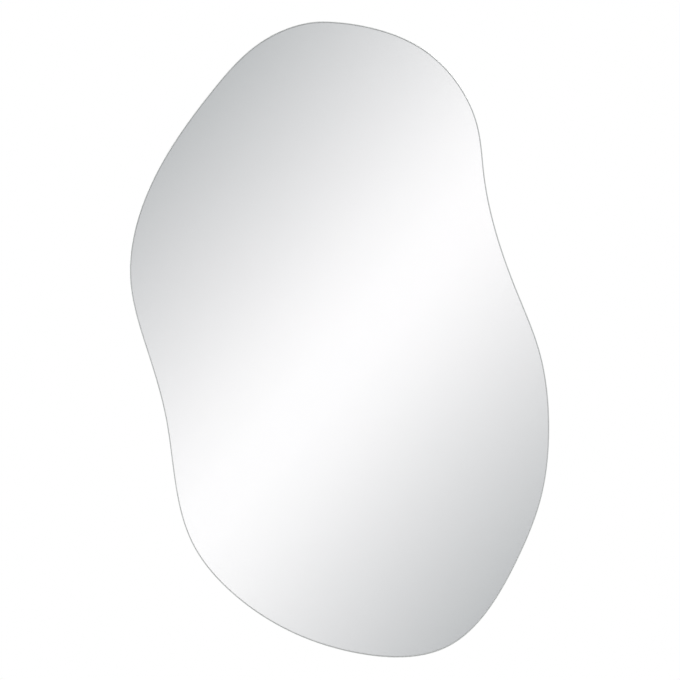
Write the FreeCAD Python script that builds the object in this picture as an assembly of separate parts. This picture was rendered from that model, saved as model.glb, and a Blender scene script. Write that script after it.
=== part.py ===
"""Frameless wall mirror with a free-form pebble outline, in millimetres.

A silvered glass pane with a rounded, polished edge carries its reflective layer, paint and safety film on
the back. Foam tape and mastic bond it to a smaller fibreboard backing board, which holds four two-screw
D-ring hangers (two for upright hanging, two for sideways hanging) and four soft bumpers that meet the wall.

Frame: +Z is up, the mirror faces -Y, and the wall is on the +Y side. The origin is the centre of the
mirror's bounding box. Left and right are as seen from the front.
"""

import FreeCAD
import Part
import math
import os

V = FreeCAD.Vector

# ---- Glass outline: overall size, and the points that a smooth closed curve passes through ----
WIDTH = 600.0
HEIGHT = 910.0
# Clockwise from the top as (x, z). The curve is then stretched and centred to the overall size.
OUTLINE = {
    "crown": (-20.0, 455.0),
    "crown_slope": (58.0, 443.0),
    "right_shoulder": (119.0, 416.0),
    "right_temple": (198.0, 305.0),
    "right_neck": (207.0, 238.0),
    "right_waist": (255.0, 67.0),
    "right_hip_top": (286.0, -15.0),
    "right_hip": (300.0, -121.0),
    "right_hip_foot": (290.0, -221.0),
    "right_flank": (255.0, -314.0),
    "heel": (152.0, -441.0),
    "sole": (20.0, -448.0),
    "left_flank": (-148.0, -368.0),
    "left_ankle": (-209.0, -296.0),
    "left_waist": (-249.0, -113.0),
    "left_hip_foot": (-277.0, -12.0),
    "left_hip": (-300.0, 86.0),
    "left_hip_top": (-283.0, 191.0),
    "left_temple": (-182.0, 357.0),
    "left_shoulder": (-114.0, 425.0),
}
INSET_POINTS = 80  # points that carry a curve set in from the outline
OUTLINE_SAMPLES = 4000  # points traced on the curve to find how far it reaches
IN_PLANE = 0.01  # an edge this near to a plane lies in it
CUT_MARGIN = 1.0  # how far a cutting shape runs past what it cuts

# ---- Glass and the layers on its back ----
GLASS_THICKNESS = 5.0
EDGE_ROUND = 1.2  # radius of the polished front and back corners of the pane
SILVER_THICKNESS = 0.1
PAINT_THICKNESS = 0.1
COATING_INSET = 1.5  # silver and paint stop this far inside the outline
FILM_THICKNESS = 0.2
FILM_INSET = 4.0

# ---- Bond between the film and the board ----
BOND_THICKNESS = 1.6
TAPE_WIDTH = 25.0
TAPE_LENGTH = 420.0
STRIP_SPACING = 90.0  # between strips of tape, and between beads of mastic
TAPE_COUNT = 4
BEAD_WIDTH = 14.0
BEAD_LENGTH = 470.0
BEAD_COUNT = 3

# ---- Backing board ----
BOARD_THICKNESS = 12.0
BOARD_INSET = 45.0
BOARD_ROUND = 3.0  # radius routed on the rear edge
BOARD_BREAK = 0.8  # small radius sanded on the front edge

# ---- D-ring hangers: a folded strap, a wire ring and two pan-head screws ----
STRAP_SHEET = 1.0
STRAP_WIDTH = 14.0
PLY_GAP = 0.1  # left between the two layers of the folded strap
RAMP_ANGLE = 20.0  # slope of the outer layer as it leaves the barrel, in degrees
RAMP_BEND = 2.0  # centreline radius where that slope flattens
FIRST_HOLE = 25.0  # from the ring's pivot to the nearer screw
HOLE_PITCH = 20.0
STRAP_END = 7.0  # from the farther screw to the rounded end
HOLE_CLEARANCE = 0.2  # radial, screw shank to strap
RING_WIRE = 3.0  # wire diameter
RING_CLEARANCE = 0.1  # radial, wire to barrel
RING_OPENING = 18.0  # width inside the ring
RING_DEPTH = 13.0  # from the straight bar to the crest, inside the ring
RING_CORNER = 3.0  # centreline radius of the two corners at the bar
SCREW_RADIUS = 2.0
SCREW_FIT = 0.05  # radial, screw shank to pilot hole
SCREW_TIP = 3.0  # length of the point
TIP_RADIUS = 0.3
TIP_COVER = 2.0  # board left under the point
HEAD_RADIUS = 4.0
HEAD_HEIGHT = 2.4
HEAD_ROUND = 1.4
RECESS_SPAN = 4.4  # across the cross recess at the top
RECESS_SLOT = 1.0
RECESS_DEPTH = 1.5
PILOT_RELIEF = 0.4  # pilot hole beyond the point

# ---- Where the hangers sit: the ring's pivot, and which way the ring points (degrees from up) ----
HANG_LINE_X = 4.0  # the upright hangers are evenly spaced about the centre of mass
UPRIGHT_SPREAD = 240.0
UPRIGHT_DROP = 170.0  # from the top of the mirror to the pivots of the upright rings
SIDEWAYS_Z = -8.0  # the sideways hangers are evenly spaced about it too
SIDEWAYS_SPREAD = 220.0
SIDEWAYS_MARGIN = 135.0  # from the left side of the mirror to the pivots of the sideways rings

# ---- Wall bumpers ----
BUMPER_HEIGHT = 6.0
BUMPER_RADIUS = 8.0
BUMPER_ROUND = 3.5  # radius that leaves a flat in the middle to meet the wall
BUMPER_EDGE = 22.0  # from the board's edge to the bumper's centre
BUMPER_STATIONS = {
    "top": "crown",
    "right": "right_hip_foot",
    "bottom": "sole",
    "left": "left_hip",
}

# ---- Planes through the depth, front to wall ----
TOTAL_DEPTH = (
    GLASS_THICKNESS + SILVER_THICKNESS + PAINT_THICKNESS + FILM_THICKNESS
    + BOND_THICKNESS + BOARD_THICKNESS + BUMPER_HEIGHT
)
GLASS_FRONT = -TOTAL_DEPTH / 2
GLASS_BACK = GLASS_FRONT + GLASS_THICKNESS
SILVER_BACK = GLASS_BACK + SILVER_THICKNESS
PAINT_BACK = SILVER_BACK + PAINT_THICKNESS
FILM_BACK = PAINT_BACK + FILM_THICKNESS
BOARD_FRONT = FILM_BACK + BOND_THICKNESS
BOARD_BACK = BOARD_FRONT + BOARD_THICKNESS

# ---- Sizes that follow in the hangers, measured up from the board ----
PIVOT_HEIGHT = STRAP_SHEET + RING_CLEARANCE + RING_WIRE / 2
STRAP_STACK = 2 * STRAP_SHEET + PLY_GAP
SCREW_REACH = BOARD_THICKNESS - TIP_COVER


# ---- Outline ----
def closed_curve(points):
    """One smooth closed curve through (x, z) points."""
    curve = Part.BSplineCurve()
    curve.interpolate(Points=[V(x, 0, z) for x, z in points], PeriodicFlag=True)
    return curve


def inward(curve, parameter):
    """The unit vector that points into the outline, square to a clockwise curve."""
    along = curve.tangent(parameter)[0]
    return V(along.z, 0, -along.x)


def glass_outline():
    """The curve through the outline points, stretched and centred to the overall size."""
    curve = closed_curve(OUTLINE.values())
    traced = curve.discretize(Number=OUTLINE_SAMPLES)
    left, right = min(p.x for p in traced), max(p.x for p in traced)
    bottom, top = min(p.z for p in traced), max(p.z for p in traced)
    for index, pole in enumerate(curve.getPoles(), start=1):
        x = (pole.x - (left + right) / 2) * WIDTH / (right - left)
        z = (pole.z - (bottom + top) / 2) * HEIGHT / (top - bottom)
        curve.setPole(index, V(x, 0, z))
    return curve


def inset_curve(distance):
    """The glass outline moved inwards by a distance."""
    outline = glass_outline()
    if distance == 0:
        return outline
    first, last = outline.FirstParameter, outline.LastParameter
    points = []
    for step in range(INSET_POINTS):
        parameter = first + (last - first) * step / INSET_POINTS
        point = outline.value(parameter) + inward(outline, parameter) * distance
        points.append((point.x, point.z))
    return closed_curve(points)


def slab(inset, front, thickness):
    """A flat plate inside the outline, from its front plane towards the wall."""
    face = Part.Face(Part.Wire([inset_curve(inset).toShape()]))
    plate = face.extrude(V(0, thickness, 0))
    plate.translate(V(0, front, 0))
    return plate


def rim_at(plate, level):
    """The plate's outline edge that lies in one plane through the depth."""
    return [
        edge for edge in plate.Edges
        if edge.BoundBox.YLength < IN_PLANE and abs(edge.BoundBox.YMin - level) < IN_PLANE
    ]


# ---- Glass, coating and film ----
def make_glass():
    pane = slab(0, GLASS_FRONT, GLASS_THICKNESS)
    return pane.makeFillet(EDGE_ROUND, rim_at(pane, GLASS_FRONT) + rim_at(pane, GLASS_BACK))


def make_silver():
    return slab(COATING_INSET, GLASS_BACK, SILVER_THICKNESS)


def make_paint():
    return slab(COATING_INSET, SILVER_BACK, PAINT_THICKNESS)


def make_film():
    return slab(FILM_INSET, PAINT_BACK, FILM_THICKNESS)


# ---- Bond ----
def strip_lines(count):
    """Where the centrelines of some evenly spaced upright strips are."""
    return [STRIP_SPACING * (i - (count - 1) / 2) for i in range(count)]


def strip(width, length, centre_x, rounded):
    """One upright strip of the bond, with square or round ends."""
    body = Part.makeBox(width, BOND_THICKNESS, length, V(centre_x - width / 2, FILM_BACK, -length / 2))
    if rounded:
        for end in (-length / 2, length / 2):
            cap = Part.makeCylinder(width / 2, BOND_THICKNESS, V(centre_x, FILM_BACK, end), V(0, 1, 0))
            body = body.fuse(cap)
        body = body.removeSplitter()
    return body


def make_tape():
    return Part.makeCompound([strip(TAPE_WIDTH, TAPE_LENGTH, x, False) for x in strip_lines(TAPE_COUNT)])


def make_beads():
    return Part.makeCompound([strip(BEAD_WIDTH, BEAD_LENGTH, x, True) for x in strip_lines(BEAD_COUNT)])


# ---- Placing the hangers ----
def hanger_places():
    """Each hanger's name with the placement that carries it from its own frame onto the board.

    In its own frame the pivot is on the X axis over the origin, +Y is up off the board and the ring
    points to +Z.
    """
    upright, sideways = 0.0, -90.0
    upright_z = HEIGHT / 2 - UPRIGHT_DROP
    sideways_x = SIDEWAYS_MARGIN - WIDTH / 2
    spots = {
        "upright_left": (HANG_LINE_X - UPRIGHT_SPREAD / 2, upright_z, upright),
        "upright_right": (HANG_LINE_X + UPRIGHT_SPREAD / 2, upright_z, upright),
        "sideways_upper": (sideways_x, SIDEWAYS_Z + SIDEWAYS_SPREAD / 2, sideways),
        "sideways_lower": (sideways_x, SIDEWAYS_Z - SIDEWAYS_SPREAD / 2, sideways),
    }
    return {
        name: FreeCAD.Placement(V(x, BOARD_BACK, z), FreeCAD.Rotation(V(0, 1, 0), turn))
        for name, (x, z, turn) in spots.items()
    }


def hole_spots():
    """How far below the pivot each screw of a hanger is."""
    return (-FIRST_HOLE, -FIRST_HOLE - HOLE_PITCH)


def placed(shape, placement):
    moved = shape.copy()
    moved.Placement = placement.multiply(moved.Placement)
    return moved


# ---- Backing board ----
def make_board():
    board = slab(BOARD_INSET, BOARD_FRONT, BOARD_THICKNESS)
    board = board.makeFillet(BOARD_ROUND, rim_at(board, BOARD_BACK))
    board = board.makeFillet(BOARD_BREAK, rim_at(board, BOARD_FRONT))
    depth = SCREW_REACH + PILOT_RELIEF
    for placement in hanger_places().values():
        for spot in hole_spots():
            pilot = Part.makeCylinder(SCREW_RADIUS + SCREW_FIT, depth, V(0, -depth, spot), V(0, 1, 0))
            board = board.cut(placed(pilot, placement))
    return board


# ---- Hanger strap ----
def strap_path():
    """Centreline of the folded sheet in the YZ plane: flat layer, barrel, ramp, flat outer layer."""
    low = STRAP_SHEET / 2
    high = low + STRAP_SHEET + PLY_GAP
    tail = -FIRST_HOLE - HOLE_PITCH - STRAP_END
    roll = PIVOT_HEIGHT - low
    slope = math.radians(RAMP_ANGLE)
    rise, run = math.sin(slope), math.cos(slope)

    # The ramp leaves the barrel at the slope angle and meets the bend that flattens it.
    leave = V(0, PIVOT_HEIGHT + roll * run, -roll * rise)
    drop = leave.y - (high + RAMP_BEND * (1 - run))
    land = leave + V(0, -drop, -drop * run / rise)
    flat = land + V(0, high - land.y, -RAMP_BEND * rise)
    crest = V(0, PIVOT_HEIGHT, roll)
    half = slope / 2
    middle = V(0, high + RAMP_BEND * (1 - math.cos(half)), flat.z + RAMP_BEND * math.sin(half))
    return Part.Wire([
        Part.LineSegment(V(0, low, tail), V(0, low, 0)).toShape(),
        Part.Arc(V(0, low, 0), crest, leave).toShape(),
        Part.LineSegment(leave, land).toShape(),
        Part.Arc(land, middle, flat).toShape(),
        Part.LineSegment(flat, V(0, high, tail)).toShape(),
    ])


def make_strap():
    """The sheet swept along its fold, with a rounded tail and two screw holes."""
    path = strap_path()
    start = path.Edges[0].Vertexes[0].Point
    half_width, half_sheet = STRAP_WIDTH / 2, STRAP_SHEET / 2
    corners = [(-half_width, -half_sheet), (half_width, -half_sheet), (half_width, half_sheet),
               (-half_width, half_sheet), (-half_width, -half_sheet)]
    section = Part.makePolygon([start + V(x, y, 0) for x, y in corners])
    sheet = path.makePipeShell([section], True, True)

    # What trims and drills the sheet runs from below its flat layer to above its barrel.
    below, up = -CUT_MARGIN, V(0, 1, 0)
    height = 2 * PIVOT_HEIGHT + 2 * CUT_MARGIN
    beyond = PIVOT_HEIGHT + CUT_MARGIN
    tail_centre = start.z + half_width
    plan = Part.makeBox(STRAP_WIDTH, height, beyond - tail_centre, V(-half_width, below, tail_centre))
    plan = plan.fuse(Part.makeCylinder(half_width, height, V(0, below, tail_centre), up))
    strap = sheet.common(plan)
    for spot in hole_spots():
        hole = Part.makeCylinder(SCREW_RADIUS + HOLE_CLEARANCE, height, V(0, below, spot), up)
        strap = strap.cut(hole)
    return strap


# ---- Ring ----
def make_ring():
    """Wire bent to a D: the straight bar lies in the strap's barrel and the bow takes the wall hook."""
    leg = (RING_OPENING + RING_WIRE) / 2
    bow_centre = RING_DEPTH + RING_WIRE - leg
    straight = leg - RING_CORNER
    diagonal = RING_CORNER * (1 - math.sqrt(0.5))

    def at(x, z):
        return V(x, PIVOT_HEIGHT, z)

    path = Part.Wire([
        Part.LineSegment(at(-straight, 0), at(straight, 0)).toShape(),
        Part.Arc(at(straight, 0), at(leg - diagonal, diagonal), at(leg, RING_CORNER)).toShape(),
        Part.LineSegment(at(leg, RING_CORNER), at(leg, bow_centre)).toShape(),
        Part.Arc(at(leg, bow_centre), at(0, bow_centre + leg), at(-leg, bow_centre)).toShape(),
        Part.LineSegment(at(-leg, bow_centre), at(-leg, RING_CORNER)).toShape(),
        Part.Arc(at(-leg, RING_CORNER), at(-leg + diagonal, diagonal), at(-straight, 0)).toShape(),
    ])
    section = Part.Wire([Part.makeCircle(RING_WIRE / 2, at(-straight, 0), V(1, 0, 0))])
    return path.makePipeShell([section], True, True)


# ---- Screws ----
def make_screw():
    """Pan-head wood screw with a cross recess, its head seated on the strap and its axis on Y."""
    up = V(0, 1, 0)
    crest = STRAP_STACK + HEAD_HEIGHT
    shoulder = SCREW_TIP - SCREW_REACH
    point = Part.makeCone(TIP_RADIUS, SCREW_RADIUS, SCREW_TIP, V(0, -SCREW_REACH, 0), up)
    shank = Part.makeCylinder(SCREW_RADIUS, STRAP_STACK - shoulder, V(0, shoulder, 0), up)
    head = Part.makeCylinder(HEAD_RADIUS, HEAD_HEIGHT, V(0, STRAP_STACK, 0), up)
    head = head.makeFillet(HEAD_ROUND, rim_at(head, crest))
    return head.fuse([shank, point]).removeSplitter().cut(cross_recess(crest))


def cross_recess(top):
    """Two crossed slots that narrow towards the bottom of the recess."""
    half, floor = RECESS_SPAN / 2, top - RECESS_DEPTH
    side = Part.makePolygon([V(-half, top, 0), V(half, top, 0), V(RECESS_SLOT / 2, floor, 0),
                             V(-RECESS_SLOT / 2, floor, 0), V(-half, top, 0)])
    slot = Part.Face(side).extrude(V(0, 0, RECESS_SLOT))
    slot.translate(V(0, 0, -RECESS_SLOT / 2))
    crossed = slot.copy()
    crossed.rotate(V(0, 0, 0), V(0, 1, 0), 90)
    return slot.fuse(crossed)


def make_screws():
    """The two screws of one hanger."""
    screws = []
    for spot in hole_spots():
        screw = make_screw()
        screw.translate(V(0, 0, spot))
        screws.append(screw)
    return Part.makeCompound(screws)


# ---- Wall bumpers ----
def make_bumper(station):
    """A soft round-topped pad near the board's edge, beside a named point of the outline."""
    outline = glass_outline()
    x, z = OUTLINE[station]
    parameter = outline.parameter(V(x, 0, z))
    centre = outline.value(parameter) + inward(outline, parameter) * (BOARD_INSET + BUMPER_EDGE)
    bumper = Part.makeCylinder(BUMPER_RADIUS, BUMPER_HEIGHT, V(0, 0, 0), V(0, 1, 0))
    bumper = bumper.makeFillet(BUMPER_ROUND, rim_at(bumper, BUMPER_HEIGHT))
    bumper.translate(V(centre.x, BOARD_BACK, centre.z))
    return bumper


# ---- Assembly ----
def all_parts():
    parts = {
        "glass_pane": make_glass(),
        "silver_layer": make_silver(),
        "back_paint": make_paint(),
        "safety_film": make_film(),
        "foam_tape_strips": make_tape(),
        "mastic_beads": make_beads(),
        "backing_board": make_board(),
    }
    strap, ring, screws = make_strap(), make_ring(), make_screws()
    for name, placement in hanger_places().items():
        parts[f"{name}_strap"] = placed(strap, placement)
        parts[f"{name}_ring"] = placed(ring, placement)
        parts[f"{name}_screws"] = placed(screws, placement)
    for side, station in BUMPER_STATIONS.items():
        parts[f"{side}_bumper"] = make_bumper(station)
    return parts


os.makedirs("parts", exist_ok=True)
for node, shape in all_parts().items():
    shape.exportStep(f"parts/{node}.step")
    print(f"{node}: {len(shape.Solids)} solid(s), {shape.Volume:.0f} mm3, valid {shape.isValid()}")
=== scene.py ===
"""Frameless wall mirror with a free-form pebble outline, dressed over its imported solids.

The pane is real refractive glass over a bright silver layer. Paint, woven film and a fibreboard board lie
behind it, with zinc-plated D-ring hangers and soft bumpers on the board. Plates are lofted afresh along the
rim of their own solids, and the hardware keeps its solids. Metres throughout. +Z is up; the glass faces -Y.
"""

import logging
import math
from dataclasses import dataclass
from enum import Enum
from typing import Any, Callable, Iterable

import bmesh
import bpy
import numpy as np
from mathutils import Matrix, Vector


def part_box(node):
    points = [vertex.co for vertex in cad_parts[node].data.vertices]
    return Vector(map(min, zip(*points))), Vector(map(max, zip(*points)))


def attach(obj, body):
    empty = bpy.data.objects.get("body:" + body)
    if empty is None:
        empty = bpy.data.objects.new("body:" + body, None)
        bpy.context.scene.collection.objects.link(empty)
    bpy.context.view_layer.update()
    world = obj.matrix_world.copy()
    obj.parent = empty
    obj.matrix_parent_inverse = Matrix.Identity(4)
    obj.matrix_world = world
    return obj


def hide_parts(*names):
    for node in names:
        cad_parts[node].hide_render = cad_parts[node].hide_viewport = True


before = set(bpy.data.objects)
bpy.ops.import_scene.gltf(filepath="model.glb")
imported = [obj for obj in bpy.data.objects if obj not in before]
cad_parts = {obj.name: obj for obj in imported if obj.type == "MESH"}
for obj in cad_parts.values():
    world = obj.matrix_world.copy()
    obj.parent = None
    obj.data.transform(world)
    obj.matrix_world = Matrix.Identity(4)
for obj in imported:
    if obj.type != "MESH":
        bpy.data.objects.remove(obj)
bpy.context.view_layer.update()

MM = 0.001
BODY = "mirror"
RIM_POINTS = 1080
TRACE_DENSITY = 8
SAME_PLACE_DIGITS = 7
LEVEL_TOLERANCE = 0.01 * MM
HANGERS = ("upright_left", "upright_right", "sideways_upper", "sideways_lower")
SIDES = ("top", "right", "bottom", "left")
FLOOR_RADIUS = 1.9
MIX_MASK, MIX_FIRST, MIX_SECOND, MIX_RESULT = 0, 6, 7, 2

log = logging.getLogger("mirror")

Colour = tuple[float, float, float]


class Ramp(Enum):
    """How a colour ramp passes from one stop to the next."""

    ROUNDED = "B_SPLINE"
    EASED = "EASE"


# ---- Node trees ----
class Graph:
    """Adds and joins the nodes of one node tree."""

    def __init__(self, tree: bpy.types.NodeTree) -> None:
        """Starts on an empty tree.

        Args:
            tree: the tree of a material, a world or a node group.
        """
        self.tree = tree
        tree.nodes.clear()

    def node(self, kind: str, inputs: dict[Any, Any] | None = None, **settings: Any) -> bpy.types.Node:
        """Adds a node.

        Args:
            kind: the node's type without its ShaderNode or Node prefix.
            inputs: socket name or index to a value, or to an output socket to join it to.
            settings: the node's own properties.

        Returns:
            The node.
        """
        prefix = "Node" if kind in ("GroupInput", "GroupOutput") else "ShaderNode"
        made = self.tree.nodes.new(prefix + kind)
        for key, value in settings.items():
            setattr(made, key, value)
        for key, value in (inputs or {}).items():
            self.feed(made, key, value)
        return made

    def feed(self, node: bpy.types.Node, key: Any, value: Any) -> None:
        """Sets or joins one input of a node.

        Args:
            node: the node.
            key: the input's name or index.
            value: a number, a colour, a vector or an output socket.
        """
        socket = node.inputs[key]
        if isinstance(value, bpy.types.NodeSocket):
            self.tree.links.new(value, socket)
        elif socket.type == "RGBA" and len(value) == 3:
            socket.default_value = (*value, 1.0)
        else:
            socket.default_value = value

    def math(self, operation: str, *values: Any, clamp: bool = False) -> bpy.types.NodeSocket:
        """Adds a Math node.

        Args:
            operation: its operation.
            values: its inputs in order.
            clamp: whether the result is kept between 0 and 1.

        Returns:
            Its result.
        """
        inputs = dict(enumerate(values))
        return self.node("Math", inputs, operation=operation, use_clamp=clamp).outputs[0]

    def spread(
        self, value: Any, low: float, high: float, to_low: float = 0.0, to_high: float = 1.0
    ) -> bpy.types.NodeSocket:
        """Maps a value from one range to another and keeps it in there.

        Args:
            value: an output socket.
            low: the value that becomes to_low.
            high: the value that becomes to_high.
            to_low: the result at low.
            to_high: the result at high.

        Returns:
            The mapped value.
        """
        inputs = {"Value": value, "From Min": low, "From Max": high, "To Min": to_low, "To Max": to_high}
        return self.node("MapRange", inputs, clamp=True).outputs["Result"]

    def blend(self, mask: Any, first: Any, second: Any) -> bpy.types.NodeSocket:
        """Mixes two colours.

        Args:
            mask: 0 for the first colour and 1 for the second.
            first: a colour or an output socket.
            second: a colour or an output socket.

        Returns:
            The mixed colour.
        """
        inputs = {MIX_MASK: mask, MIX_FIRST: first, MIX_SECOND: second}
        return self.node("Mix", inputs, data_type="RGBA").outputs[MIX_RESULT]

    def noise(
        self, place: Any, scale: Any, detail: float = 2.0, roughness: float = 0.5
    ) -> bpy.types.NodeSocket:
        """Adds a noise texture.

        Args:
            place: where on the object.
            scale: how fine the noise is.
            detail: how many finer layers it has.
            roughness: how strong those are.

        Returns:
            The noise, mostly between 0.3 and 0.7.
        """
        inputs = {"Vector": place, "Scale": scale, "Detail": detail, "Roughness": roughness}
        return self.node("TexNoise", inputs).outputs[0]

    def ramp(self, value: Any, stops: Iterable[tuple[float, Colour]], way: Ramp) -> bpy.types.NodeSocket:
        """Colours a value from 0 to 1 by a ramp.

        Args:
            value: an output socket.
            stops: places and colours.
            way: how one stop passes to the next.

        Returns:
            The colour.
        """
        made = self.node("ValToRGB", {0: value})
        ramp = made.color_ramp
        ramp.interpolation = way.value
        stops = list(stops)
        while len(ramp.elements) < len(stops):
            ramp.elements.new(0.5)
        for element, (place, colour) in zip(ramp.elements, stops):
            element.position = place
            element.color = (*colour, 1.0)
        return made.outputs["Color"]

    def group(self, tree: bpy.types.NodeTree, **inputs: Any) -> bpy.types.Node:
        """Places a shared effect.

        Args:
            tree: the node group.
            inputs: its inputs, with underscores for spaces.

        Returns:
            The group node.
        """
        made = self.node("Group", node_tree=tree)
        for key, value in inputs.items():
            self.feed(made, key.replace("_", " "), value)
        return made


class Effect:
    """A shared shader node group: a place and named numbers in, masks or heights out."""

    def __init__(self, name: str, inputs: dict[str, float], outputs: Iterable[str]) -> None:
        """Makes the group's tree and sockets, with Place as its first input.

        Args:
            name: the group's name.
            inputs: the other inputs, with their starting values.
            outputs: names of the number outputs.
        """
        self.tree = bpy.data.node_groups.new(name, "ShaderNodeTree")
        face = self.tree.interface
        face.new_socket("Place", in_out="INPUT", socket_type="NodeSocketVector")
        for key, start in inputs.items():
            socket = face.new_socket(key, in_out="INPUT", socket_type="NodeSocketFloat")
            socket.default_value = start
        for key in outputs:
            face.new_socket(key, in_out="OUTPUT", socket_type="NodeSocketFloat")
        self.graph = Graph(self.tree)
        self.source = self.graph.node("GroupInput").outputs
        self.result = self.graph.node("GroupOutput")

    def give(self, key: str, value: bpy.types.NodeSocket) -> None:
        """Joins one output of the group.

        Args:
            key: the output's name.
            value: what it puts out.
        """
        self.graph.feed(self.result, key, value)

    def strokes(
        self, turn: float, tilt: float, stretch: float, low: float, high: float
    ) -> bpy.types.NodeSocket:
        """Short strokes that all lie one way, at the group's Scale.

        Args:
            turn: which way they lie, in radians about Y.
            tilt: how far they lean, in radians about X.
            stretch: how many times as long as wide they are.
            low: the noise at which a stroke begins to show.
            high: the noise at which it shows fully.

        Returns:
            The strokes, from 0 to 1.
        """
        lie = {"Vector": self.source["Place"], "Rotation": (tilt, turn, 0.0), "Scale": (stretch, 1.0, 1.0)}
        turned = self.graph.node("Mapping", lie, vector_type="TEXTURE").outputs[0]
        return self.graph.spread(self.graph.noise(turned, self.source["Scale"], detail=1.0), low, high)


def mottle_effect() -> bpy.types.NodeTree:
    """Soft cloudy variation at one scale with a finer one over it.

    Returns:
        The group, with a Mask output from 0 to 1.
    """
    effect = Effect("mottle", {"Scale": 20.0, "Fine": 6.0}, ["Mask"])
    graph, source = effect.graph, effect.source
    fine_share = 0.45
    broad = graph.noise(source["Place"], source["Scale"], detail=3.0)
    fine = graph.noise(source["Place"], graph.math("MULTIPLY", source["Scale"], source["Fine"]))
    both = graph.math("ADD", broad, graph.math("MULTIPLY", fine, fine_share))
    effect.give("Mask", graph.spread(both, low=0.5, high=0.95))
    return effect.tree


def scuff_effect() -> bpy.types.NodeTree:
    """Fine handling marks: short strokes in two directions, broken up by noise.

    Returns:
        The group, with a Mask output from 0 to Amount.
    """
    effect = Effect("scuffs", {"Scale": 400.0, "Amount": 0.3}, ["Mask"])
    graph, source = effect.graph, effect.source
    marks = [effect.strokes(turn, tilt=0.3, stretch=16.0, low=0.66, high=0.76) for turn in (0.5, 1.9)]
    effect.give("Mask", graph.math("MULTIPLY", graph.math("MAXIMUM", *marks), source["Amount"]))
    return effect.tree


def weave_effect() -> bpy.types.NodeTree:
    """Plain weave of flat tapes in the XZ plane.

    Returns:
        The group, with Height and Gap outputs from 0 to 1.
    """
    effect = Effect("flat_tape_weave", {"Pitch": 0.002}, ["Height", "Gap"])
    graph, source = effect.graph, effect.source
    half_cell, edge, side_height = 0.5, 0.14, 0.45
    parts = graph.node("SeparateXYZ", {0: source["Place"]}).outputs
    across = graph.math("DIVIDE", parts[0], source["Pitch"])
    along = graph.math("DIVIDE", parts[2], source["Pitch"])
    columns = graph.math("PINGPONG", across, half_cell)
    rows = graph.math("PINGPONG", along, half_cell)
    cells = graph.math("ADD", graph.math("FLOOR", across), graph.math("FLOOR", along))
    over = graph.math("FLOORED_MODULO", cells, 2.0)
    under = graph.math("SUBTRACT", 1.0, over)
    warp = graph.math("MULTIPLY", graph.spread(columns, 0.0, edge), over)
    weft = graph.math("MULTIPLY", graph.spread(rows, 0.0, edge), under)
    crown_warp = graph.math("MULTIPLY", warp, graph.spread(rows, 0.0, half_cell, side_height))
    crown_weft = graph.math("MULTIPLY", weft, graph.spread(columns, 0.0, half_cell, side_height))
    effect.give("Height", graph.math("ADD", crown_warp, crown_weft))
    effect.give("Gap", graph.math("SUBTRACT", 1.0, graph.math("ADD", warp, weft), clamp=True))
    return effect.tree


def fibre_effect() -> bpy.types.NodeTree:
    """Pressed wood fibre: short fibres that lie every way, over a fine even ground.

    Returns:
        The group, with Fleck, Fibre and Height outputs from 0 to 1.
    """
    effect = Effect("pressed_fibre", {"Scale": 500.0}, ["Fleck", "Fibre", "Height"])
    graph, source = effect.graph, effect.source
    ground = graph.noise(source["Place"], source["Scale"], detail=4.0, roughness=0.7)
    first, second, third = [
        effect.strokes(turn, tilt=0.0, stretch=6.0, low=0.62, high=0.72) for turn in (0.2, 1.25, 2.3)
    ]
    fibre = graph.math("MAXIMUM", graph.math("MAXIMUM", first, second), third)
    halves = [graph.math("MULTIPLY", part, 0.5) for part in (fibre, ground)]
    effect.give("Fleck", graph.spread(ground, low=0.30, high=0.70))
    effect.give("Fibre", fibre)
    effect.give("Height", graph.math("ADD", *halves))
    return effect.tree


class Effects:
    """The shared node groups, each built when a finish first asks for it."""

    _made: dict[str, bpy.types.NodeTree] = {}

    @classmethod
    def get(cls, build: Callable[[], bpy.types.NodeTree]) -> bpy.types.NodeTree:
        """The group that a builder function makes.

        Args:
            build: one of the effect functions.

        Returns:
            The node group.
        """
        if build.__name__ not in cls._made:
            cls._made[build.__name__] = build()
        return cls._made[build.__name__]


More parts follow.
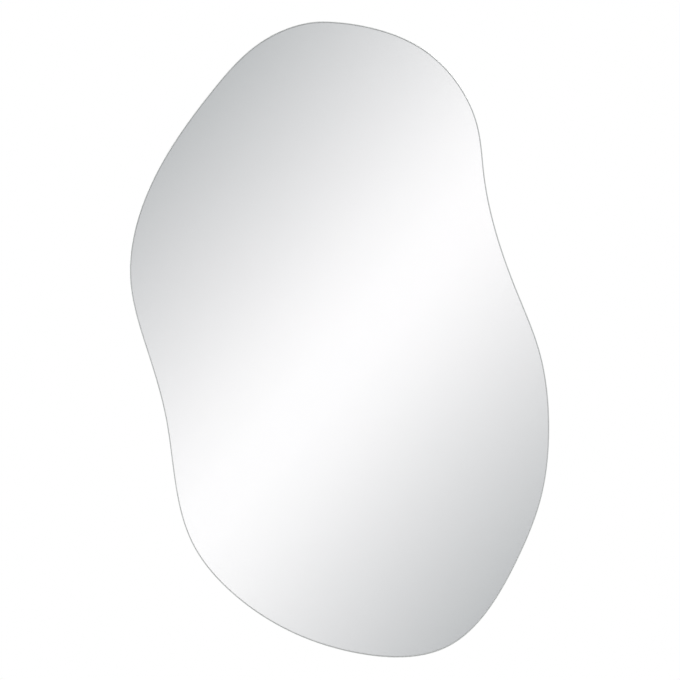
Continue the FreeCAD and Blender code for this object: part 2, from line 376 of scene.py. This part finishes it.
# ---- Finishes ----
@dataclass(frozen=True)
class Finish:
    """A finish: its name, its two colours, and how it shines."""

    name: str
    base: Colour
    shade: Colour
    roughness: float

    def start(self) -> tuple[bpy.types.Material, Graph, bpy.types.Node, bpy.types.NodeSocket]:
        """An empty material with a Principled shader.

        Returns:
            The material, its graph, the shader and the place on the object.
        """
        material = bpy.data.materials.new(self.name)
        material.use_nodes = True
        graph = Graph(material.node_tree)
        shader = graph.node("BsdfPrincipled", {"Roughness": self.roughness})
        graph.node("OutputMaterial", {"Surface": shader.outputs[0]})
        place = graph.node("TexCoord").outputs["Object"]
        return material, graph, shader, place

    def clouds(
        self, graph: Graph, place: bpy.types.NodeSocket, scale: float, fine: float
    ) -> bpy.types.NodeSocket:
        """Soft cloudy variation over the surface.

        Args:
            graph: the material's graph.
            place: the place on the object.
            scale: how small the clouds are.
            fine: how many times smaller the fine ones are.

        Returns:
            A mask from 0 to 1.
        """
        return graph.group(Effects.get(mottle_effect), Place=place, Scale=scale, Fine=fine).outputs[0]

    def scuffs(
        self, graph: Graph, place: bpy.types.NodeSocket, scale: float, amount: float
    ) -> bpy.types.NodeSocket:
        """Fine handling marks.

        Args:
            graph: the material's graph.
            place: the place on the object.
            scale: how fine the marks are.
            amount: how strongly they show.

        Returns:
            A mask from 0 to the amount.
        """
        return graph.group(Effects.get(scuff_effect), Place=place, Scale=scale, Amount=amount).outputs[0]

    def tinted(self, graph: Graph, mask: bpy.types.NodeSocket) -> bpy.types.NodeSocket:
        """The finish's two colours, mixed by a mask.

        Args:
            graph: the material's graph.
            mask: 0 for the base and 1 for the shade.

        Returns:
            The colour.
        """
        return graph.blend(mask, self.base, self.shade)

    def facing(self, graph: Graph) -> bpy.types.NodeSocket:
        """How squarely the surface faces the front or the wall.

        Args:
            graph: the material's graph.

        Returns:
            1 on a face of a plate and 0 on its edge.
        """
        normal = graph.node("NewGeometry").outputs["Normal"]
        return graph.math("ABSOLUTE", graph.node("SeparateXYZ", {0: normal}).outputs[1])

    def through(self, graph: Graph, place: bpy.types.NodeSocket, node: str) -> bpy.types.NodeSocket:
        """How far through the depth of a plate a place lies.

        Args:
            graph: the material's graph.
            place: the place on the object.
            node: the plate's name.

        Returns:
            0 at its front and 1 at its back.
        """
        low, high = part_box(node)
        return graph.spread(graph.node("SeparateXYZ", {0: place}).outputs[1], low.y, high.y)

    def relief(
        self, graph: Graph, shader: bpy.types.Node, height: Any, strength: float, depth: float
    ) -> None:
        """Raises a surface by a height.

        Args:
            graph: the material's graph.
            shader: its shader.
            height: an output socket from 0 to 1.
            strength: how strongly it shows.
            depth: how deep it is, in metres.
        """
        bump = graph.node("Bump", {"Height": height, "Strength": strength, "Distance": depth})
        graph.feed(shader, "Normal", bump.outputs[0])

    def material(self) -> bpy.types.Material:
        """The finish as a material.

        Returns:
            The material.
        """
        raise NotImplementedError


@dataclass(frozen=True)
class ClearGlass(Finish):
    """Float glass: clear, and a little greener in places."""

    refraction: float = 1.52

    def material(self) -> bpy.types.Material:
        """The finish as a material.

        Returns:
            The material.
        """
        material, graph, shader, place = self.start()
        clouds = self.clouds(graph, place, scale=1.5, fine=3.0)
        graph.feed(shader, "Base Color", self.tinted(graph, clouds))
        graph.feed(shader, "IOR", self.refraction)
        graph.feed(shader, "Transmission Weight", 1.0)
        return material


@dataclass(frozen=True)
class PolishedEdge(Finish):
    """The polished rim of the pane: grey at the corners, which is painted shade standing in for the darker
    room the edge refracts, and bands through its depth that are partly the glass's own sea-green and partly
    painted light and dark reflection lines.
    """

    ripple: float = 90.0
    ripple_share: float = 0.4
    band_wander: float = 0.12
    gloss: float = 0.5
    gloss_roughness: float = 0.08
    # The glass's own sea-green across the depth, with painted light and dark reflection lines and a painted
    # darker band inside.
    green_and_painted_reflection_bands: tuple[tuple[float, Colour], ...] = (
        (0.20, (0.330, 0.430, 0.395)),
        (0.34, (0.165, 0.285, 0.245)),
        (0.50, (0.255, 0.395, 0.345)),
        (0.62, (0.180, 0.300, 0.258)),
        (0.80, (0.400, 0.480, 0.452)),
    )

    def material(self) -> bpy.types.Material:
        """The finish as a material.

        Returns:
            The material.
        """
        material, graph, shader, place = self.start()
        ripple = graph.noise(place, self.ripple)
        clouds = self.clouds(graph, place, scale=9.0, fine=4.0)
        rippled = graph.math("MULTIPLY", ripple, self.ripple_share)
        clouded = graph.math("MULTIPLY", clouds, 1.0 - self.ripple_share)
        # The corners' grey is painted shade, standing in for the darker room that the polished edge refracts.
        corner = self.tinted(graph, graph.math("ADD", clouded, rippled, clamp=True))
        on_wall = graph.spread(self.facing(graph), low=0.05, high=0.45, to_low=0.9, to_high=0.0)
        wander = graph.math("MULTIPLY", graph.math("SUBTRACT", clouds, 0.5), self.band_wander)
        depth = graph.math("ADD", self.through(graph, place, "glass_pane"), wander)
        # Through the depth: the glass's own green, with painted reflection lines.
        wall = graph.ramp(depth, self.green_and_painted_reflection_bands, Ramp.EASED)
        graph.feed(shader, "Base Color", graph.blend(on_wall, corner, wall))
        graph.feed(shader, "Coat Weight", self.gloss)
        graph.feed(shader, "Coat Roughness", self.gloss_roughness)
        self.relief(graph, shader, ripple, strength=0.15, depth=0.1 * MM)
        return material


@dataclass(frozen=True)
class Silver(Finish):
    """Bright silver under the glass."""

    def material(self) -> bpy.types.Material:
        """The finish as a material.

        Returns:
            The material.
        """
        material, graph, shader, place = self.start()
        clouds = self.clouds(graph, place, scale=2.0, fine=3.0)
        graph.feed(shader, "Base Color", self.tinted(graph, clouds))
        graph.feed(shader, "Metallic", 1.0)
        return material


@dataclass(frozen=True)
class SprayedPaint(Finish):
    """Matt protective paint with a fine orange peel."""

    peel: float = 900.0

    def material(self) -> bpy.types.Material:
        """The finish as a material.

        Returns:
            The material.
        """
        material, graph, shader, place = self.start()
        clouds = self.clouds(graph, place, scale=25.0, fine=8.0)
        graph.feed(shader, "Base Color", self.tinted(graph, clouds))
        self.relief(graph, shader, graph.noise(place, self.peel), strength=0.25, depth=0.05 * MM)
        return material


@dataclass(frozen=True)
class WovenFilm(Finish):
    """Self-adhesive safety film: flat woven tapes under a clear skin."""

    pitch: float = 2.2 * MM
    gap: Colour = (0.42, 0.43, 0.43)
    gap_strength: float = 0.55
    roughness_range: float = 0.12
    skin: float = 0.25
    skin_roughness: float = 0.3

    def material(self) -> bpy.types.Material:
        """The finish as a material.

        Returns:
            The material.
        """
        material, graph, shader, place = self.start()
        weave = graph.group(Effects.get(weave_effect), Place=place, Pitch=self.pitch)
        clouds = self.clouds(graph, place, scale=7.0, fine=5.0)
        gap = graph.math("MULTIPLY", weave.outputs["Gap"], self.gap_strength)
        rough = graph.spread(clouds, 0.0, 1.0, self.roughness, self.roughness + self.roughness_range)
        graph.feed(shader, "Base Color", graph.blend(gap, self.tinted(graph, clouds), self.gap))
        graph.feed(shader, "Roughness", rough)
        graph.feed(shader, "Coat Weight", self.skin)
        graph.feed(shader, "Coat Roughness", self.skin_roughness)
        self.relief(graph, shader, weave.outputs["Height"], strength=0.55, depth=0.15 * MM)
        return material


@dataclass(frozen=True)
class Foam(Finish):
    """Closed-cell foam, or cured mastic at a coarser grain, with painted shade in the hollows of its cells.
    """

    grain: float = 1200.0

    def material(self) -> bpy.types.Material:
        """The finish as a material.

        Returns:
            The material.
        """
        material, graph, shader, place = self.start()
        cells = graph.node("TexVoronoi", {"Vector": place, "Scale": self.grain}).outputs["Distance"]
        # Painted shade: the shade colour fills the cell hollows where the bump sinks, and the base colour
        # lies on the crowns.
        painted_pit_shade_mask = graph.spread(cells, low=0.1, high=0.6)
        graph.feed(shader, "Base Color", graph.blend(painted_pit_shade_mask, self.shade, self.base))
        self.relief(graph, shader, cells, strength=0.4, depth=0.2 * MM)
        return material


@dataclass(frozen=True)
class RawFibreboard(Finish):
    """Sanded board: fine flecks on the faces, and cut edges with a woolly core between two denser skins."""

    cut: Colour = (0.285, 0.180, 0.095)
    core: Colour = (0.400, 0.275, 0.160)
    bright_fibre: Colour = (0.60, 0.45, 0.29)
    flecks: float = 2500.0
    wool: float = 420.0
    core_wander: float = 0.16
    cloud_strength: float = 0.12
    fibre_strength: float = 0.34
    edge_strength: float = 0.75
    edge_roughness: float = 0.9

    def material(self) -> bpy.types.Material:
        """The finish as a material.

        Returns:
            The material.
        """
        material, graph, shader, place = self.start()
        fibre = graph.group(Effects.get(fibre_effect), Place=place, Scale=self.flecks)
        clouds = self.clouds(graph, place, scale=6.0, fine=7.0)
        wool = graph.noise(place, self.wool, detail=3.0, roughness=0.6)
        on_edge = graph.spread(self.facing(graph), low=0.55, high=0.95, to_low=1.0, to_high=0.0)

        flecked = graph.blend(fibre.outputs["Fleck"], self.shade, self.base)
        ground = graph.blend(graph.math("MULTIPLY", clouds, self.cloud_strength), flecked, self.cut)
        shown = graph.math("MULTIPLY", fibre.outputs["Fibre"], self.fibre_strength)
        face = graph.blend(shown, ground, self.bright_fibre)

        wander = graph.math("MULTIPLY", wool, self.core_wander)
        depth = graph.math("ADD", self.through(graph, place, "backing_board"), wander)
        from_skin = graph.math("PINGPONG", graph.math("SUBTRACT", depth, self.core_wander / 2), 0.5)
        in_core = graph.spread(from_skin, low=0.12, high=0.30, to_high=0.7)
        edge = graph.blend(in_core, self.cut, graph.blend(wool, self.core, self.bright_fibre))

        seen_edge = graph.math("MULTIPLY", on_edge, self.edge_strength)
        graph.feed(shader, "Base Color", graph.blend(seen_edge, face, edge))
        graph.feed(shader, "Roughness", graph.spread(on_edge, 0.0, 1.0, self.roughness, self.edge_roughness))
        height = graph.math("ADD", fibre.outputs["Height"], graph.math("MULTIPLY", wool, on_edge))
        self.relief(graph, shader, height, strength=0.35, depth=0.12 * MM)
        return material


@dataclass(frozen=True)
class ZincPlate(Finish):
    """Bright zinc on steel: cool and warm patches, a fine grain and handling marks."""

    grain: float = 2600.0
    mark: Colour = (0.84, 0.85, 0.85)
    mark_strength: float = 0.5
    mark_polish: float = 0.08
    roughness_range: float = 0.14

    def material(self) -> bpy.types.Material:
        """The finish as a material.

        Returns:
            The material.
        """
        material, graph, shader, place = self.start()
        patches = self.clouds(graph, place, scale=110.0, fine=5.0)
        scuffs = self.scuffs(graph, place, scale=2000.0, amount=0.6)
        marks = graph.math("MULTIPLY", scuffs, self.mark_strength)
        rough = graph.spread(patches, 0.0, 1.0, self.roughness, self.roughness + self.roughness_range)
        polish = graph.math("MULTIPLY", scuffs, self.mark_polish)
        graph.feed(shader, "Base Color", graph.blend(marks, self.tinted(graph, patches), self.mark))
        graph.feed(shader, "Metallic", 1.0)
        graph.feed(shader, "Roughness", graph.math("SUBTRACT", rough, polish))
        self.relief(graph, shader, graph.noise(place, self.grain, detail=3.0), strength=0.15, depth=0.02 * MM)
        return material


@dataclass(frozen=True)
class SoftBumper(Finish):
    """Cloudy cast polyurethane with a skin that has picked up a little dust."""

    dust: float = 0.3
    clearness: float = 0.35
    refraction: float = 1.5
    cloudiness: float = 0.5
    light_reach: float = 4.0 * MM
    skin: float = 0.3

    def material(self) -> bpy.types.Material:
        """The finish as a material.

        Returns:
            The material.
        """
        material, graph, shader, place = self.start()
        clouds = self.clouds(graph, place, scale=160.0, fine=6.0)
        dust = graph.math("MULTIPLY", self.scuffs(graph, place, scale=900.0, amount=0.5), self.dust)
        graph.feed(shader, "Base Color", self.tinted(graph, clouds))
        graph.feed(shader, "Roughness", graph.math("ADD", dust, self.roughness))
        graph.feed(shader, "Transmission Weight", self.clearness)
        graph.feed(shader, "IOR", self.refraction)
        graph.feed(shader, "Subsurface Weight", self.cloudiness)
        graph.feed(shader, "Subsurface Radius", (self.light_reach,) * 3)
        graph.feed(shader, "Subsurface Scale", 1.0)
        graph.feed(shader, "Coat Weight", self.skin)
        return material


@dataclass(frozen=True)
class StudioFloor(Finish):
    """Plain pale floor that fades out before its edge."""

    fade_start: float = 0.35 * FLOOR_RADIUS
    fade_end: float = 0.97 * FLOOR_RADIUS

    def material(self) -> bpy.types.Material:
        """The finish as a material.

        Returns:
            The material.
        """
        material, graph, shader, place = self.start()
        graph.feed(shader, "Base Color", self.base)
        parts = graph.node("SeparateXYZ", {0: place}).outputs
        flat = graph.node("CombineXYZ", {0: parts[0], 1: parts[1]}).outputs[0]
        far = graph.node("VectorMath", {0: flat}, operation="LENGTH").outputs["Value"]
        graph.feed(shader, "Alpha", graph.spread(far, self.fade_start, self.fade_end, 1.0, 0.0))
        return material


GLASS = ClearGlass("clear_glass", (0.990, 0.993, 0.993), (0.988, 0.993, 0.992), 0.0)
# The grey of the polished edge is painted shade, standing in for the darker room the edge refracts.
EDGE = PolishedEdge("polished_edge", (0.555, 0.572, 0.566), (0.630, 0.647, 0.640), 0.22)
SILVER = Silver("bright_silver", (0.955, 0.962, 0.960), (0.950, 0.960, 0.958), 0.0)
PAINT = SprayedPaint("back_paint", (0.200, 0.215, 0.215), (0.160, 0.172, 0.172), 0.6)
FILM = WovenFilm("woven_safety_film", (0.760, 0.770, 0.765), (0.680, 0.690, 0.685), 0.42)
# The second colour of the foam and the mastic is painted shade in their cell hollows.
FOAM = Foam("closed_cell_foam", (0.80, 0.80, 0.77), (0.62, 0.62, 0.60), 0.85)
MASTIC = Foam("cured_mastic", (0.62, 0.60, 0.55), (0.50, 0.48, 0.44), 0.5, grain=300.0)
BOARD = RawFibreboard("raw_fibreboard", (0.47, 0.325, 0.19), (0.37, 0.245, 0.137), 0.72)
ZINC = ZincPlate("zinc_plate", (0.66, 0.68, 0.70), (0.57, 0.57, 0.55), 0.26)
BUMPER = SoftBumper("soft_polyurethane", (0.83, 0.85, 0.84), (0.76, 0.78, 0.77), 0.22)
FLOOR = StudioFloor("pale_floor", (0.82, 0.82, 0.82), (0.82, 0.82, 0.82), 0.9)


# ---- Plates ----
class RimCurve:
    """A smooth closed curve through the rim of a plate's own solid, with its inward directions."""

    def __init__(self, node: str, level: float) -> None:
        """Reads the rim where it is widest.

        Args:
            node: the plate's name.
            level: the plane through the depth, in metres, that holds the widest outline.
        """
        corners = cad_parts[node].data.vertices
        on_level = [v.co for v in corners if abs(v.co.y - level) < LEVEL_TOLERANCE]
        rim = {(round(co.x, SAME_PLACE_DIGITS), round(co.z, SAME_PLACE_DIGITS)) for co in on_level}
        knots = np.array(sorted(rim, key=lambda p: -math.atan2(p[1], p[0])))
        dense = self._spline(knots, RIM_POINTS * TRACE_DENSITY)
        reach = np.ptp(knots, 0) / np.ptp(dense, 0)
        middle = (knots.max(0) + knots.min(0)) / 2
        dense = middle + (dense - (dense.max(0) + dense.min(0)) / 2) * reach
        steps = np.linalg.norm(np.roll(dense, -1, 0) - dense, axis=1)
        travelled = np.concatenate([[0.0], np.cumsum(steps)])
        marks = np.linspace(0.0, travelled[-1], RIM_POINTS, endpoint=False)
        closed = np.vstack([dense, dense[:1]])
        self.points = np.column_stack([np.interp(marks, travelled, closed[:, i]) for i in (0, 1)])
        along = np.roll(self.points, -1, 0) - np.roll(self.points, 1, 0)
        along /= np.linalg.norm(along, axis=1)[:, None]
        self.inward = np.column_stack([along[:, 1], -along[:, 0]])

    @staticmethod
    def _spline(knots: np.ndarray, count: int) -> np.ndarray:
        """A periodic cubic through the knots, spaced by chord length.

        Args:
            knots: the points to pass through.
            count: how many points to return.

        Returns:
            Points along the curve.
        """
        number = len(knots)
        gaps = np.linalg.norm(np.roll(knots, -1, 0) - knots, axis=1)
        at = np.concatenate([[0.0], np.cumsum(gaps)])
        before, index = np.roll(gaps, 1), np.arange(number)
        system = np.zeros((number, number))
        system[index, index - 1] += before
        system[index, index] += 2 * (before + gaps)
        system[index, (index + 1) % number] += gaps
        slope = (np.roll(knots, -1, 0) - knots) / gaps[:, None]
        bend = np.linalg.solve(system, 6 * (slope - np.roll(slope, 1, 0)))
        u = np.linspace(0.0, at[-1], count, endpoint=False)
        k = np.clip(np.searchsorted(at, u, side="right") - 1, 0, number - 1)
        n = (k + 1) % number
        width, s = gaps[k][:, None], (u - at[k])[:, None]
        rest = width - s
        bowed = (bend[k] * rest**3 + bend[n] * s**3) / (6 * width)
        from_this = (knots[k] / width - bend[k] * width / 6) * rest
        from_next = (knots[n] / width - bend[n] * width / 6) * s
        return bowed + from_this + from_next

    def inset(self, distance: float) -> np.ndarray:
        """The curve moved inwards.

        Args:
            distance: how far, in metres.

        Returns:
            Its points.
        """
        return self.points + self.inward * distance


@dataclass
class Plate:
    """A flat plate lofted along the rim of its own solid, with rounded edges."""

    node: str
    slot: str
    finish: Finish
    rim_finish: Finish | None = None
    front_round: float = 0.0
    back_round: float = 0.0
    front_lift: float = 0.0
    steps: int = 10

    def rows(self) -> list[tuple[float, float]]:
        """The plate's section, from the front face round the edge to the back face.

        Returns:
            Pairs of the distance in from the rim and the place through the depth.
        """
        low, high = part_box(self.node)
        front, back = low.y + self.front_lift, high.y
        section = []
        for radius, level, way in ((self.front_round, front, 1.0), (self.back_round, back, -1.0)):
            turn = [math.pi / 2 * i / self.steps for i in range(self.steps + 1)] if radius else [math.pi / 2]
            arc = [(radius * (1 - math.sin(a)), level + way * radius * (1 - math.cos(a))) for a in turn]
            section += arc if way > 0 else arc[::-1]
        return section

    def build(self) -> None:
        """Makes the plate, dresses it and hides its solid."""
        curve = RimCurve(self.node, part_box(self.node)[0].y + self.front_round)
        shape = bmesh.new()
        loops = []
        for distance, depth in self.rows():
            loops.append([shape.verts.new((x, depth, z)) for x, z in curve.inset(distance)])
        for outer, inner in zip(loops, loops[1:]):
            for i, corner in enumerate(outer):
                j = (i + 1) % len(outer)
                face = shape.faces.new((corner, inner[i], inner[j], outer[j]))
                face.smooth = True
                face.material_index = 1 if self.rim_finish else 0
        shape.faces.new(loops[0])
        shape.faces.new(list(reversed(loops[-1])))
        bmesh.ops.recalc_face_normals(shape, faces=shape.faces)
        mesh = bpy.data.meshes.new(f"{self.node}_lofted")
        shape.to_mesh(mesh)
        shape.free()
        for finish in filter(None, (self.finish, self.rim_finish)):
            mesh.materials.append(finish.material())
        plate = bpy.data.objects.new(f"{self.node}_lofted", mesh)
        bpy.context.scene.collection.objects.link(plate)
        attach(plate, BODY)
        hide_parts(self.node)
        log.info("%s: %d faces", plate.name, len(mesh.polygons))


# ---- Hardware that keeps its solids ----
@dataclass
class Hardware:
    """Carried-over solids that take a finish, with their sharp corners just broken."""

    nodes: tuple[str, ...]
    finish: Finish
    corner: float = 0.0
    corner_steps: int = 2
    corner_angle: float = math.radians(50)
    same_corner: float = 0.002 * MM

    def dress(self) -> None:
        """Puts the finish on each solid."""
        material = self.finish.material()
        for name in self.nodes:
            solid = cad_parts[name]
            solid.data.materials.clear()
            solid.data.materials.append(material)
            if self.corner:
                self._break_corners(solid)
            log.info("%s: %s", name, self.finish.name)

    def _break_corners(self, solid: bpy.types.Object) -> None:
        """Adds the small radius that stamping and tumbling leave.

        Args:
            solid: the solid to treat.
        """
        weld = solid.modifiers.new("weld", "WELD")
        weld.merge_threshold = self.same_corner
        bevel = solid.modifiers.new("corner", "BEVEL")
        bevel.width = self.corner
        bevel.segments = self.corner_steps
        bevel.limit_method = "ANGLE"
        bevel.angle_limit = self.corner_angle
        bevel.harden_normals = False
        smooth = solid.modifiers.new("normals", "WEIGHTED_NORMAL")
        smooth.keep_sharp = False


# ---- Studio ----
@dataclass
class Lamp:
    """A soft rectangular lamp aimed at the mirror."""

    name: str
    place: tuple[float, float, float]
    size: float
    power: float
    seen_in_metal: bool = False

    def build(self) -> None:
        """Makes the lamp."""
        light = bpy.data.lights.new(self.name, "AREA")
        light.shape = "SQUARE"
        light.size = self.size
        light.energy = self.power
        lamp = bpy.data.objects.new(self.name, light)
        lamp.location = self.place
        lamp.rotation_mode = "QUATERNION"
        lamp.rotation_quaternion = Vector(self.place).to_track_quat("Z", "Y")
        lamp.visible_camera = False
        lamp.visible_transmission = False
        lamp.visible_glossy = self.seen_in_metal
        bpy.context.scene.collection.objects.link(lamp)
        log.info("lamp %s", self.name)


@dataclass
class Room:
    """What surrounds the mirror: white to the camera, and a softly banded room in glass and metal."""

    ambient: float = 0.55
    half_wave: float = 0.150
    band_offset: float = 0.0062
    band_slant: float = math.radians(40.7)
    gloss_strength: float = 1.14
    bright: Colour = (0.94, 0.92, 0.93)
    dim: Colour = (0.40, 0.41, 0.42)
    level_end: float = 0.1
    fall_steps: int = 4
    behind: tuple[tuple[float, Colour], ...] = (
        (0.0, (0.55, 0.55, 0.55)),
        (0.44, (0.62, 0.62, 0.62)),
        (0.53, (0.25, 0.26, 0.27)),
        (0.66, (0.70, 0.70, 0.70)),
        (1.0, (1.0, 1.0, 1.0)),
    )

    def build(self) -> None:
        """Makes the world."""
        world = bpy.data.worlds.new("studio")
        bpy.context.scene.world = world
        world.use_nodes = True
        graph = Graph(world.node_tree)
        towards = graph.node("TexCoord").outputs["Generated"]
        gloss = self._seen_in_gloss(graph, towards)
        light = graph.node("LightPath").outputs
        mirrored = graph.math("MAXIMUM", light["Is Glossy Ray"], light["Is Transmission Ray"])
        plain = graph.node("Background", {"Color": (1.0, 1.0, 1.0), "Strength": self.ambient})
        shown = graph.node("Background", {"Color": gloss, "Strength": self.gloss_strength})
        white = graph.node("Background", {"Color": (1.0, 1.0, 1.0), "Strength": 1.0})
        first = graph.node("MixShader", {0: mirrored, 1: plain.outputs[0], 2: shown.outputs[0]})
        last = graph.node("MixShader", {0: light["Is Camera Ray"], 1: first.outputs[0], 2: white.outputs[0]})
        graph.node("OutputWorld", {"Surface": last.outputs[0]})
        log.info("room")

    def _bands(self) -> list[tuple[float, Colour]]:
        """An even fall of light from the bright line to the dim one, level at both ends.

        Returns:
            Places and colours.
        """
        fall = []
        for step in range(self.fall_steps + 1):
            share = step / self.fall_steps
            place = self.level_end + (1.0 - 2.0 * self.level_end) * share
            fall.append((place, tuple(b + (d - b) * share for b, d in zip(self.bright, self.dim))))
        return [(0.0, self.bright), *fall, (1.0, self.dim)]

    def _seen_in_gloss(self, graph: Graph, towards: bpy.types.NodeSocket) -> bpy.types.NodeSocket:
        """The room that glass and metal show: slanting soft bands in front, broad panels behind.

        Args:
            graph: the world's graph.
            towards: the direction looked in.

        Returns:
            The colour in that direction.
        """
        across = (math.cos(self.band_slant), 0.0, -math.sin(self.band_slant))
        dot = graph.node("VectorMath", {0: towards, 1: across}, operation="DOT_PRODUCT").outputs["Value"]
        fold = graph.math("PINGPONG", graph.math("SUBTRACT", dot, self.band_offset), self.half_wave)
        front = graph.ramp(graph.math("DIVIDE", fold, self.half_wave), self._bands(), Ramp.ROUNDED)
        parts = graph.node("SeparateXYZ", {0: towards}).outputs
        behind = graph.ramp(graph.spread(parts[2], low=-1.0, high=1.0), self.behind, Ramp.EASED)
        return graph.blend(graph.spread(parts[1], low=-0.05, high=0.25), front, behind)


@dataclass
class Studio:
    """Camera, lamps, floor and room."""

    view_distance: float = 3.4
    seen_height: float = 0.9724
    camera_place: tuple[float, float] = (0.0007, -0.0008)
    sensor_width: float = 36.0
    farthest: float = 100.0
    floor_level: float = -0.80
    floor_sides: int = 96
    lamps: tuple[Lamp, ...] = (
        Lamp("key", (-1.9, -2.4, 2.2), 1.7, 48.0),
        Lamp("fill", (2.3, -2.2, 0.9), 2.0, 24.0),
        Lamp("back_key", (1.7, 2.2, 2.0), 1.4, 48.0, True),
        Lamp("back_fill", (-2.2, 2.1, 0.6), 1.8, 20.0, True),
    )

    def build(self) -> None:
        """Makes the studio and sets the plain view transform."""
        bpy.context.scene.view_settings.view_transform = "Standard"
        Room().build()
        for lamp in self.lamps:
            lamp.build()
        self._camera()
        self._floor()

    def _camera(self) -> None:
        """Places the camera square-on, with the photograph's framing."""
        lens = bpy.data.cameras.new("camera")
        lens.sensor_width = self.sensor_width
        lens.lens = self.sensor_width * self.view_distance / self.seen_height
        lens.clip_end = self.farthest
        camera = bpy.data.objects.new("camera", lens)
        x, z = self.camera_place
        camera.location = (x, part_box("glass_pane")[0].y - self.view_distance, z)
        camera.rotation_euler = (math.pi / 2, 0.0, 0.0)
        bpy.context.scene.collection.objects.link(camera)
        bpy.context.scene.camera = camera
        log.info("camera with a %.0f mm lens", lens.lens)

    def _floor(self) -> None:
        """Lays a round floor under the mirror."""
        shape = bmesh.new()
        bmesh.ops.create_circle(shape, cap_ends=True, segments=self.floor_sides, radius=FLOOR_RADIUS)
        mesh = bpy.data.meshes.new("floor")
        shape.to_mesh(mesh)
        shape.free()
        mesh.materials.append(FLOOR.material())
        floor = bpy.data.objects.new("floor", mesh)
        floor.location = (0.0, 0.0, self.floor_level)
        bpy.context.scene.collection.objects.link(floor)
        log.info("floor")


# ---- Assembly ----
@dataclass
class Pane:
    """The glass with everything that is coated or stuck on its back."""

    edge_round: float = 1.2 * MM
    air: float = 0.02 * MM

    def build(self) -> None:
        """Builds the pane and its layers from the front backwards."""
        Plate("glass_pane", "glass", GLASS, EDGE, self.edge_round, self.edge_round).build()
        Plate("silver_layer", "silver", SILVER, front_lift=self.air).build()
        Plate("back_paint", "back_paint", PAINT).build()
        Plate("safety_film", "safety_film", FILM).build()


@dataclass
class Backing:
    """The board, what bonds it to the pane, and its bumpers."""

    edge_round: float = 3.0 * MM
    front_break: float = 0.8 * MM

    def build(self) -> None:
        """Builds the board and dresses the bond and the bumpers."""
        Plate("backing_board", "fibreboard", BOARD, None, self.front_break, self.edge_round).build()
        Hardware(("foam_tape_strips",), FOAM).dress()
        Hardware(("mastic_beads",), MASTIC).dress()
        Hardware(tuple(f"{side}_bumper" for side in SIDES), BUMPER).dress()


@dataclass
class Hangers:
    """The four D-ring hangers: straps, rings and screws."""

    corner: float = 0.12 * MM

    def build(self) -> None:
        """Dresses the hangers."""
        Hardware(tuple(f"{name}_strap" for name in HANGERS), ZINC, self.corner).dress()
        Hardware(tuple(f"{name}_ring" for name in HANGERS), ZINC).dress()
        Hardware(tuple(f"{name}_screws" for name in HANGERS), ZINC).dress()


def write_sizes() -> None:
    """Updates the view layer."""
    bpy.context.view_layer.update()


def main() -> None:
    """Builds the mirror from the glass backwards, then the studio."""
    logging.basicConfig(level=logging.INFO, format="%(message)s")
    Pane().build()
    Backing().build()
    Hangers().build()
    Studio().build()
    write_sizes()


if __name__ == "__main__":
    main()
